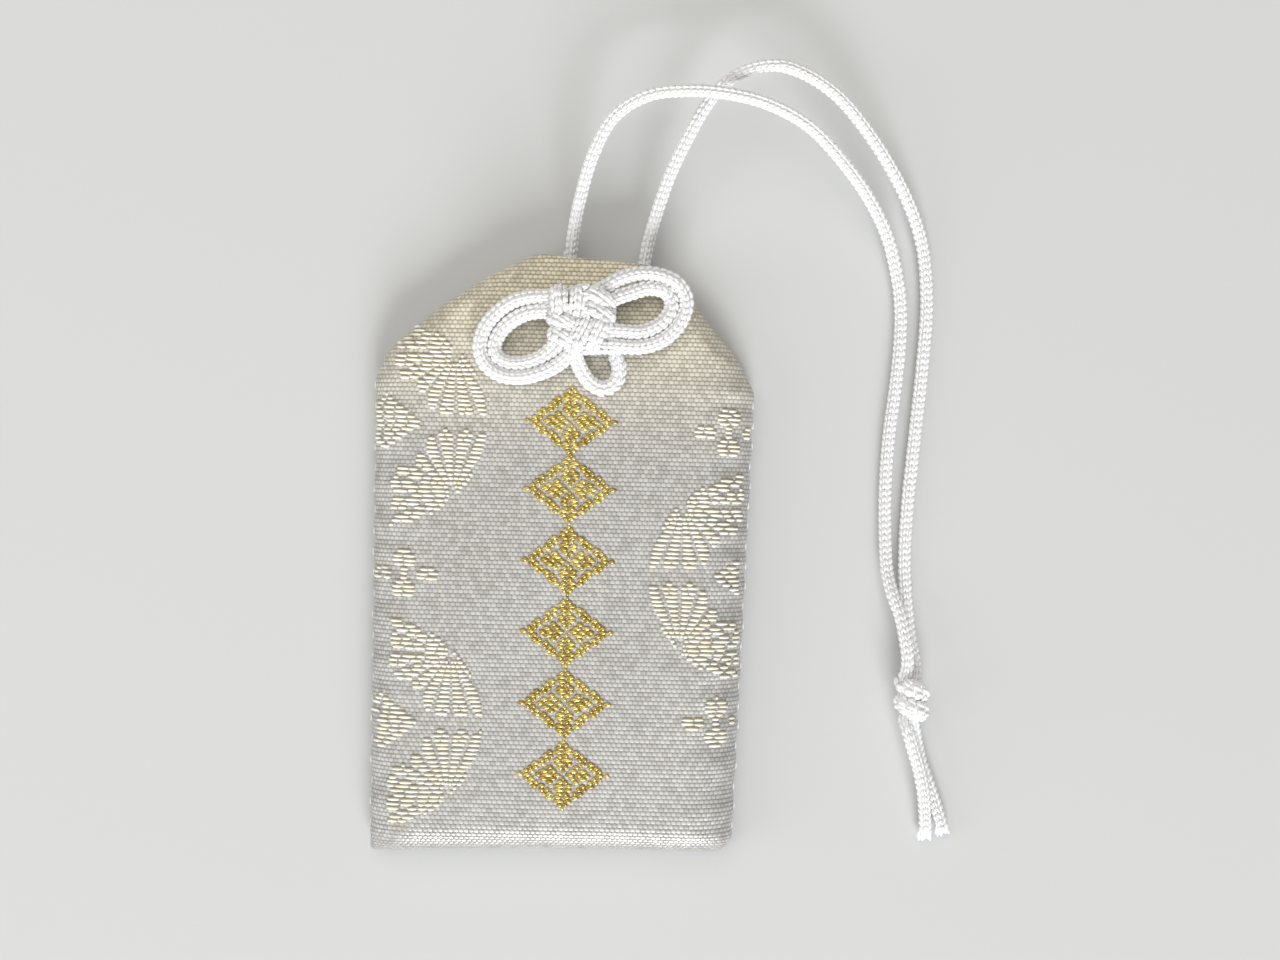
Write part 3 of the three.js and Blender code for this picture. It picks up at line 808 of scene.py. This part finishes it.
def bowRoute():
    levels = ("back", "under", "middle", "front", "return")
    back, under, middle, front, low = (bow[level] for level in levels)

    def beside(points, shift):
        return [(x + shift[0], y + shift[1], z) for x, y, z in points]

    # Over the top of the knot and down, then under the left band
    def bandT(top, foot):
        return [
            (top, 2.85, back + 0.2), (top, 3.2, middle), (top, 2.85, front - 0.2), (top, 2.2, front),
            (mix(top, foot, 0.5), 1.0, front - 0.05), (foot, 0.1, middle + 0.5), (foot, -0.8, under + 0.1),
            (foot, -2.2, under),
        ]

    # Out from under the top band, slanting down to the right and round behind
    bandR = [
        (-2.4, 0.75, middle), (-0.9, 1.0, middle), (0.2, 1.3, middle + 0.7), (1.1, 1.25, front - 0.1),
        (1.9, 0.9, front), (2.5, 0.45, front - 0.15), (2.95, 0.05, front - 0.55), (3.15, -0.15, middle),
        (2.85, -0.1, back + 0.2), (2.0, 0.3, back),
    ]
    # Out from under the right band, slanting down to the left
    bandB = [
        (1.1, 2.4, middle), (0.95, 1.0, middle), (0.75, 0.1, middle + 0.7), (0.4, -0.7, front - 0.1),
        (-0.1, -1.7, front), (-0.5, -2.5, front - 0.1),
    ]
    # Round the left side to the front, then under the bottom band
    bandL = [
        (-2.0, -0.5, back), (-2.85, -0.25, back + 0.2), (-3.2, -0.1, middle), (-2.9, 0.0, front - 0.3),
        (-2.3, -0.3, front), (-1.5, -0.85, front - 0.2), (-0.7, -1.3, middle + 0.4), (0.3, -1.4, middle),
        (2.4, -1.25, middle),
    ]
    leftLoopInner = [
        (-2.75, -2.9, 2.1), (-3.7, -3.8, 2.0), (-5.0, -4.7, 1.9), (-6.6, -5.2, 1.7), (-8.4, -5.2, 1.45),
        (-9.7, -4.55, 1.3), (-10.1, -3.3, 1.25), (-9.5, -1.75, 1.35), (-8.2, -0.4, 1.6), (-6.5, 0.5, 1.9),
        (-4.9, 0.8, 2.1), (-3.8, 0.8, 2.25),
    ]
    leftLoopOuter = [
        (-0.95, -3.4, 2.1), (-1.75, -4.5, 2.0), (-3.0, -5.55, 1.95), (-4.8, -6.4, 1.85), (-7.0, -6.9, 1.65),
        (-9.1, -6.7, 1.45), (-10.9, -5.6, 1.3), (-11.8, -3.6, 1.25), (-11.3, -1.3, 1.35), (-9.7, 0.7, 1.6),
        (-7.9, 1.9, 1.9), (-6.0, 2.4, 2.1), (-4.2, 2.5, 2.25),
    ]
    rightLoopOuter = [
        (4.4, -3.05, 2.2), (6.7, -3.05, 1.9), (8.9, -2.4, 1.6), (10.7, -1.0, 1.4), (11.85, 1.0, 1.25),
        (12.0, 2.8, 1.25), (11.0, 4.45, 1.4), (9.0, 5.35, 1.55), (6.5, 5.45, 1.8), (4.3, 4.75, 2.1),
        (2.6, 3.7, 2.25), (1.5, 3.0, 2.3),
    ]
    rightLoopInner = [
        (4.7, -1.3, 2.2), (7.1, -1.25, 1.9), (9.35, -0.05, 1.5), (10.35, 1.75, 1.3), (9.85, 3.3, 1.35),
        (7.8, 3.85, 1.6), (5.6, 3.2, 1.9), (4.2, 2.7, 2.2), (3.4, 2.4, 2.3),
    ]
    backPassLower = [(1.2, 0.1, back), (0.2, -0.9, back + 0.2), (-1.2, -1.9, back)]
    backPassUpper = [(-x, -y, z) for x, y, z in backPassLower[::-1]]
    lowerLoop = [
        (-0.5, -3.2, 3.2), (-0.6, -4.1, 2.5), (0.0, -5.7, 1.7), (1.1, -7.2, 1.2), (2.6, -7.9, 1.05),
        (4.05, -7.1, 1.0), (4.4, -5.5, 0.95), (4.0, -4.0, 0.9), (3.6, -2.6, low), (2.6, -1.4, low),
        (1.2, -0.4, low), (0.1, 0.9, low), (-0.45, 2.2, 0.9),
    ]
    foldBottom = [(1.35, -2.8, front - 0.4), (1.3, -3.1, middle), (1.5, -2.7, back + 0.2)]
    stretches = [
        bandT(-2.6, -2.3), leftLoopInner, bandR, backPassLower,
        beside(bandL, bow["laneL"]), rightLoopOuter, bandB, lowerLoop,
        bandT(-0.35, -0.6), leftLoopOuter, beside(bandR, bow["laneR"]), backPassUpper,
        bandL, rightLoopInner, beside(bandB, bow["laneB"]), foldBottom,
    ]
    centre = np.array(bow["centre"])
    knot = [tuple(np.array(point) + centre) for stretch in stretches for point in stretch]
    # The legs run inside the pouch, between the bow and the mouth
    leftLeg = [(0.3, 35.5, 2.4), (0.05, 33.6, 2.6), (-0.5, 32.2, 2.6), (-0.4, 30.9, 3.2), (-0.4, 30.2, 5.0)]
    rightLeg = [
        (4.4, 25.4, 5.2), (4.4, 26.0, 3.2), (5.6, 28.2, 2.6), (7.6, 30.9, 2.6), (8.8, 33.4, 2.6),
        (9.0, 34.9, 2.4),
    ]
    return np.array(leftLeg + knot + rightLeg) * mm


def tightInBow(line):
    away = np.max(np.abs(line[:, :2] - np.array(bow["centre"][:2]) * mm), axis=1) / mm
    outside = line[:, 2] / mm - bow["centre"][2]
    return np.clip((bow["tightWithin"] - away) / bow["tightOver"], 0, 1) * np.clip(outside, 0, 1)


bowLine, bowLength = smoothLine(bowRoute())
bowCord = knitCord(
    "bowCord", bowLine, bow["girth"], bow["lean"], tightInBow, bow["pressed"], bow["fuller"], bow["drawn"],
)
print("bow cord length:", round(bowLength, 3))

# Left end of the cord, in metres: out of the mouth, over in an arch, round in the stop knot and to its tail
leftRoute = [
    (0.0003, 0.0352, 0.0024), (0.0006, 0.0382, 0.0032), (0.0012, 0.0415, 0.0044),
    (0.0029, 0.0472, 0.0064), (0.0052, 0.0512, 0.0076), (0.0090, 0.0535, 0.0085),
    (0.0138, 0.0541, 0.0089), (0.0183, 0.0539, 0.0087), (0.0230, 0.0530, 0.0079),
    (0.0278, 0.0508, 0.0068), (0.0318, 0.0473, 0.0054), (0.0352, 0.0434, 0.0038),
    (0.0378, 0.0391, 0.0023), (0.0394, 0.0340, 0.0012), (0.0399, 0.0305, 0.0009),
    (0.0399, 0.0260, 0.0009), (0.0395, 0.0210, 0.0009), (0.0389, 0.0155, 0.0009),
    (0.0386, 0.0094, 0.0009), (0.0387, 0.0033, 0.0010), (0.0390, -0.0010, 0.0014),
    (0.0396, -0.0036, 0.0021), (0.0405, -0.0062, 0.0027), (0.0411, -0.0090, 0.0031),
    (0.0414, -0.0114, 0.0032), (0.0413, -0.0130, 0.0029),
]
# Right end: out of the mouth, under the left one, through the stop knot and to its tail
rightRoute = [
    (0.0090, 0.0347, 0.0024), (0.0095, 0.0375, 0.0028), (0.0103, 0.0405, 0.0035),
    (0.0119, 0.0453, 0.0046), (0.0139, 0.0496, 0.0054), (0.0159, 0.0532, 0.0059),
    (0.0182, 0.0559, 0.0064), (0.0210, 0.0573, 0.0069), (0.0239, 0.0577, 0.0071),
    (0.0268, 0.0570, 0.0070), (0.0308, 0.0548, 0.0062), (0.0342, 0.0516, 0.0050),
    (0.0377, 0.0472, 0.0035), (0.0406, 0.0424, 0.0021), (0.0423, 0.0378, 0.0012),
    (0.0430, 0.0315, 0.0009), (0.0427, 0.0242, 0.0009), (0.0420, 0.0156, 0.0009),
    (0.0413, 0.0070, 0.0009), (0.0411, 0.0007, 0.0009), (0.0413, -0.0030, 0.0009),
    (0.0416, -0.0060, 0.00095), (0.0420, -0.0090, 0.0011), (0.0425, -0.0114, 0.0014),
    (0.0426, -0.0130, 0.0018), (0.0423, -0.0150, 0.0024), (0.0421, -0.0166, 0.0026),
    (0.0422, -0.0180, 0.0024), (0.0426, -0.0196, 0.0018), (0.0432, -0.0219, 0.0011),
    (0.0438, -0.0240, 0.0009), (0.0447, -0.0264, 0.0009), (0.0456, -0.0289, 0.0009),
    (0.0464, -0.0313, 0.0009),
]
stopKnot = {
    "start": (0.0421, -0.0142, 0.0026), "turns": 1.75, "pitch": 2.15 * mm, "radius": 0.95 * mm,
    "perTurn": 8, "fuller": 0.55, "tightWithin": 3.0, "tightOver": 1.2,
}
leftTail = [
    (0.0415, -0.0187, 0.0021), (0.0417, -0.0198, 0.0028), (0.0420, -0.0208, 0.0029),
    (0.0425, -0.0223, 0.0027), (0.0431, -0.0241, 0.0025), (0.0437, -0.0265, 0.0022),
    (0.0441, -0.0290, 0.0017), (0.0444, -0.0320, 0.0010),
]


def stopTurns():
    points = []
    for step in range(int(stopKnot["turns"] * stopKnot["perTurn"]) + 1):
        angle = math.pi - 2 * math.pi * step / stopKnot["perTurn"]
        along = -stopKnot["pitch"] * step / stopKnot["perTurn"]
        offset = (stopKnot["radius"] * math.cos(angle), along, stopKnot["radius"] * math.sin(angle))
        points.append(tuple(np.array(stopKnot["start"]) + np.array(offset)))
    return points


def tightInStop(line):
    along = np.abs(line[:, 1] - stopKnot["start"][1] + stopKnot["pitch"] * stopKnot["turns"] / 2) / mm
    return np.clip((stopKnot["tightWithin"] - along) / stopKnot["tightOver"], 0, 1)


# One sample is left out, so that the core reaches the split and its row of stitches isn't made twice
def rootLine(line, split):
    return np.delete(line[:split + 1], split - 2, axis=0)


leftLine, leftLength = smoothLine(leftRoute + stopTurns() + leftTail)
rightLine, rightLength = smoothLine(rightRoute)
leftSplit, rightSplit = cord["leftRoot"], cord["rightRoot"]
leftRoot = knitCord("leftRoot", rootLine(leftLine, leftSplit))
leftCord = knitCord("leftCord", leftLine[leftSplit:], tightAt=tightInStop, fuller=stopKnot["fuller"])
rightRoot = knitCord("rightRoot", rootLine(rightLine, rightSplit))
rightCord = knitCord("rightCord", rightLine[rightSplit:])
print("cord ends:", round(leftLength, 4), round(rightLength, 4))


# Tips of the tails: fibres that a flame has fused into flared lobes

tips = {
    "count": 30, "long": 1.7 * mm, "longShares": (0.7, 1.1), "wide": 0.36 * mm,
    "flare": 0.45, "reach": 0.5 * mm, "flatter": 0.5, "overlap": 0.6 * mm, "seed": 11,
}


def tipTufts(name, line):
    chance = np.random.default_rng(tips["seed"])
    places, ways, sides, lengths = [], [], [], []
    way = line[-1] - line[-1 - cord["samplesPerStitch"]]
    way = way / np.linalg.norm(way)
    side = np.cross(way, (0, 0, 1))
    up = np.cross(side, way)
    for _ in range(tips["count"]):
        turn, reach = chance.uniform(0, 2 * math.pi), math.sqrt(chance.uniform(0, 1))
        out = side * math.cos(turn) + up * math.sin(turn) * tips["flatter"]
        lobe = way * math.cos(tips["flare"] * reach) + out * math.sin(tips["flare"] * reach)
        lobe /= np.linalg.norm(lobe)
        length = tips["long"] * chance.uniform(*tips["longShares"])
        places.append(line[-1] - way * tips["overlap"] + out * reach * tips["reach"] + lobe * length / 2)
        ways.append(lobe)
        sides.append(np.cross(lobe, out))
        lengths.append(length)
    guide = pointMesh(name + "Points", places, [], {
        "normal": sides, "along": ways, "length": lengths, "share": np.ones(len(lengths)),
    })
    wide = tips["wide"]
    return threads.make(name, guide, {"Thread Wide": wide, "Thread High": wide, "Material": tipSilk})


leftTip = tipTufts("leftTip", leftLine)
rightTip = tipTufts("rightTip", rightLine)


# Sewing thread: slip stitches up both sides, in millimetres

seam = {"pitch": 2.3, "long": 1.0, "wide": 0.26, "firstRow": 0.06, "lastRow": 0.99}


def seamStitches():
    count = int((seam["lastRow"] - seam["firstRow"]) * bodyLength / seam["pitch"])
    row = np.linspace(seam["firstRow"], seam["lastRow"], count)
    places, normals, ways = [], [], []
    for share, outward in ((0.0, -1.0), (1.0, 1.0)):
        line = clothPoint(row, np.full(count, share))
        way = np.gradient(line, axis=0)
        places.append(line)
        ways.append(way / np.linalg.norm(way, axis=1, keepdims=True))
        normals.append(np.tile((outward, 0.0, 0.0), (count, 1)))
    total = 2 * count
    guide = pointMesh("seamPoints", np.concatenate(places) * mm, [], {
        "normal": np.concatenate(normals), "along": np.concatenate(ways),
        "length": np.full(total, seam["long"] * mm), "share": np.ones(total),
    })
    wide = seam["wide"] * mm
    sizes = {"Thread Wide": wide, "Thread High": wide, "Material": seamThread}
    return threads.make("seamStitches", guide, sizes)


stitches = seamStitches()


# Frame: what each piece rides on and stands for

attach(pouchCloth, "pouch")
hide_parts("brocade_pouch")
for piece in (ivoryFigures, goldFigures, backFigures):
    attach(piece, "pouch")
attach(bowCord, "pouch")
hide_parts("bow_knot")
for piece in (leftCord, rightCord, leftTip, rightTip):
    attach(piece, "loop")
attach(stitches, "pouch")
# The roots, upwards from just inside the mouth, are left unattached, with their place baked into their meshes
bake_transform(leftRoot)
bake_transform(rightRoot)
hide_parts("hanging_strand_left", "stop_knot", "tail_left")
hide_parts("hanging_strand_right")
rootLength = cordStep * (rightSplit - 1)
rightLength - rootLength
print("pieces tied to the frame")


# Floor, light and camera

studio = {
    "floor": (0.59, 0.60, 0.60, 1), "floorRoughness": 0.9, "floorHalf": 0.6, "floorLevel": -0.00005,
    "world": (1.0, 0.985, 0.96, 1), "worldStrength": 0.35, "lampsAim": (0.01, 0.005, 0.0),
}
paleFloor = startMaterial(
    "pale floor", {"Base Color": studio["floor"], "Roughness": studio["floorRoughness"]},
)[0]
half, level = studio["floorHalf"], studio["floorLevel"]
floorCorners = [(-half, -half, level), (half, -half, level), (half, half, level), (-half, half, level)]
floor = meshObject("floor", floorCorners, [(0, 1, 2, 3)], paleFloor)

light = {   # place, size, power and colour of each lamp
    "key": ((0.29, -1.28, 0.69), 0.72, 24.0, (0.97, 0.985, 1.0)),
    "fill": ((-0.16, 0.40, 0.80), 0.90, 3.6, (1.0, 0.95, 0.87)),
    "side": ((-0.70, -0.20, 0.30), 0.50, 1.7, (1.0, 1.0, 1.0)),
}
for name, (place, size, power, colour) in light.items():
    lamp = bpy.data.lights.new(name, "AREA")
    lamp.size = size
    lamp.energy = power
    lamp.color = colour
    holder = bpy.data.objects.new(name, lamp)
    holder.location = place
    aim = np.array(studio["lampsAim"]) - np.array(place)
    holder.rotation_euler = (
        math.atan2(math.hypot(aim[0], aim[1]), -aim[2]), 0.0, math.atan2(aim[1], aim[0]) - math.pi / 2,
    )
    scene.collection.objects.link(holder)

world = bpy.data.worlds.new("studio")
world.use_nodes = True
background = world.node_tree.nodes["Background"]
background.inputs["Color"].default_value = studio["world"]
background.inputs["Strength"].default_value = studio["worldStrength"]
scene.world = world

# Focal length and frame width in pixels of the picture
view = {
    "place": (0.0092, 0.00925, 0.190), "turn": 1.42,
    "focal": 1578, "frame": 1280, "sensor": 36.0, "nearest": 0.01,
}
camera = bpy.data.cameras.new("camera")
camera.sensor_width = view["sensor"]
camera.lens = view["sensor"] * view["focal"] / view["frame"]
camera.clip_start = view["nearest"]
cameraObject = bpy.data.objects.new("camera", camera)
cameraObject.location = view["place"]
cameraObject.rotation_euler = (0, 0, math.radians(view["turn"]))
scene.collection.objects.link(cameraObject)
scene.camera = cameraObject
scene.view_settings.view_transform = "Standard"
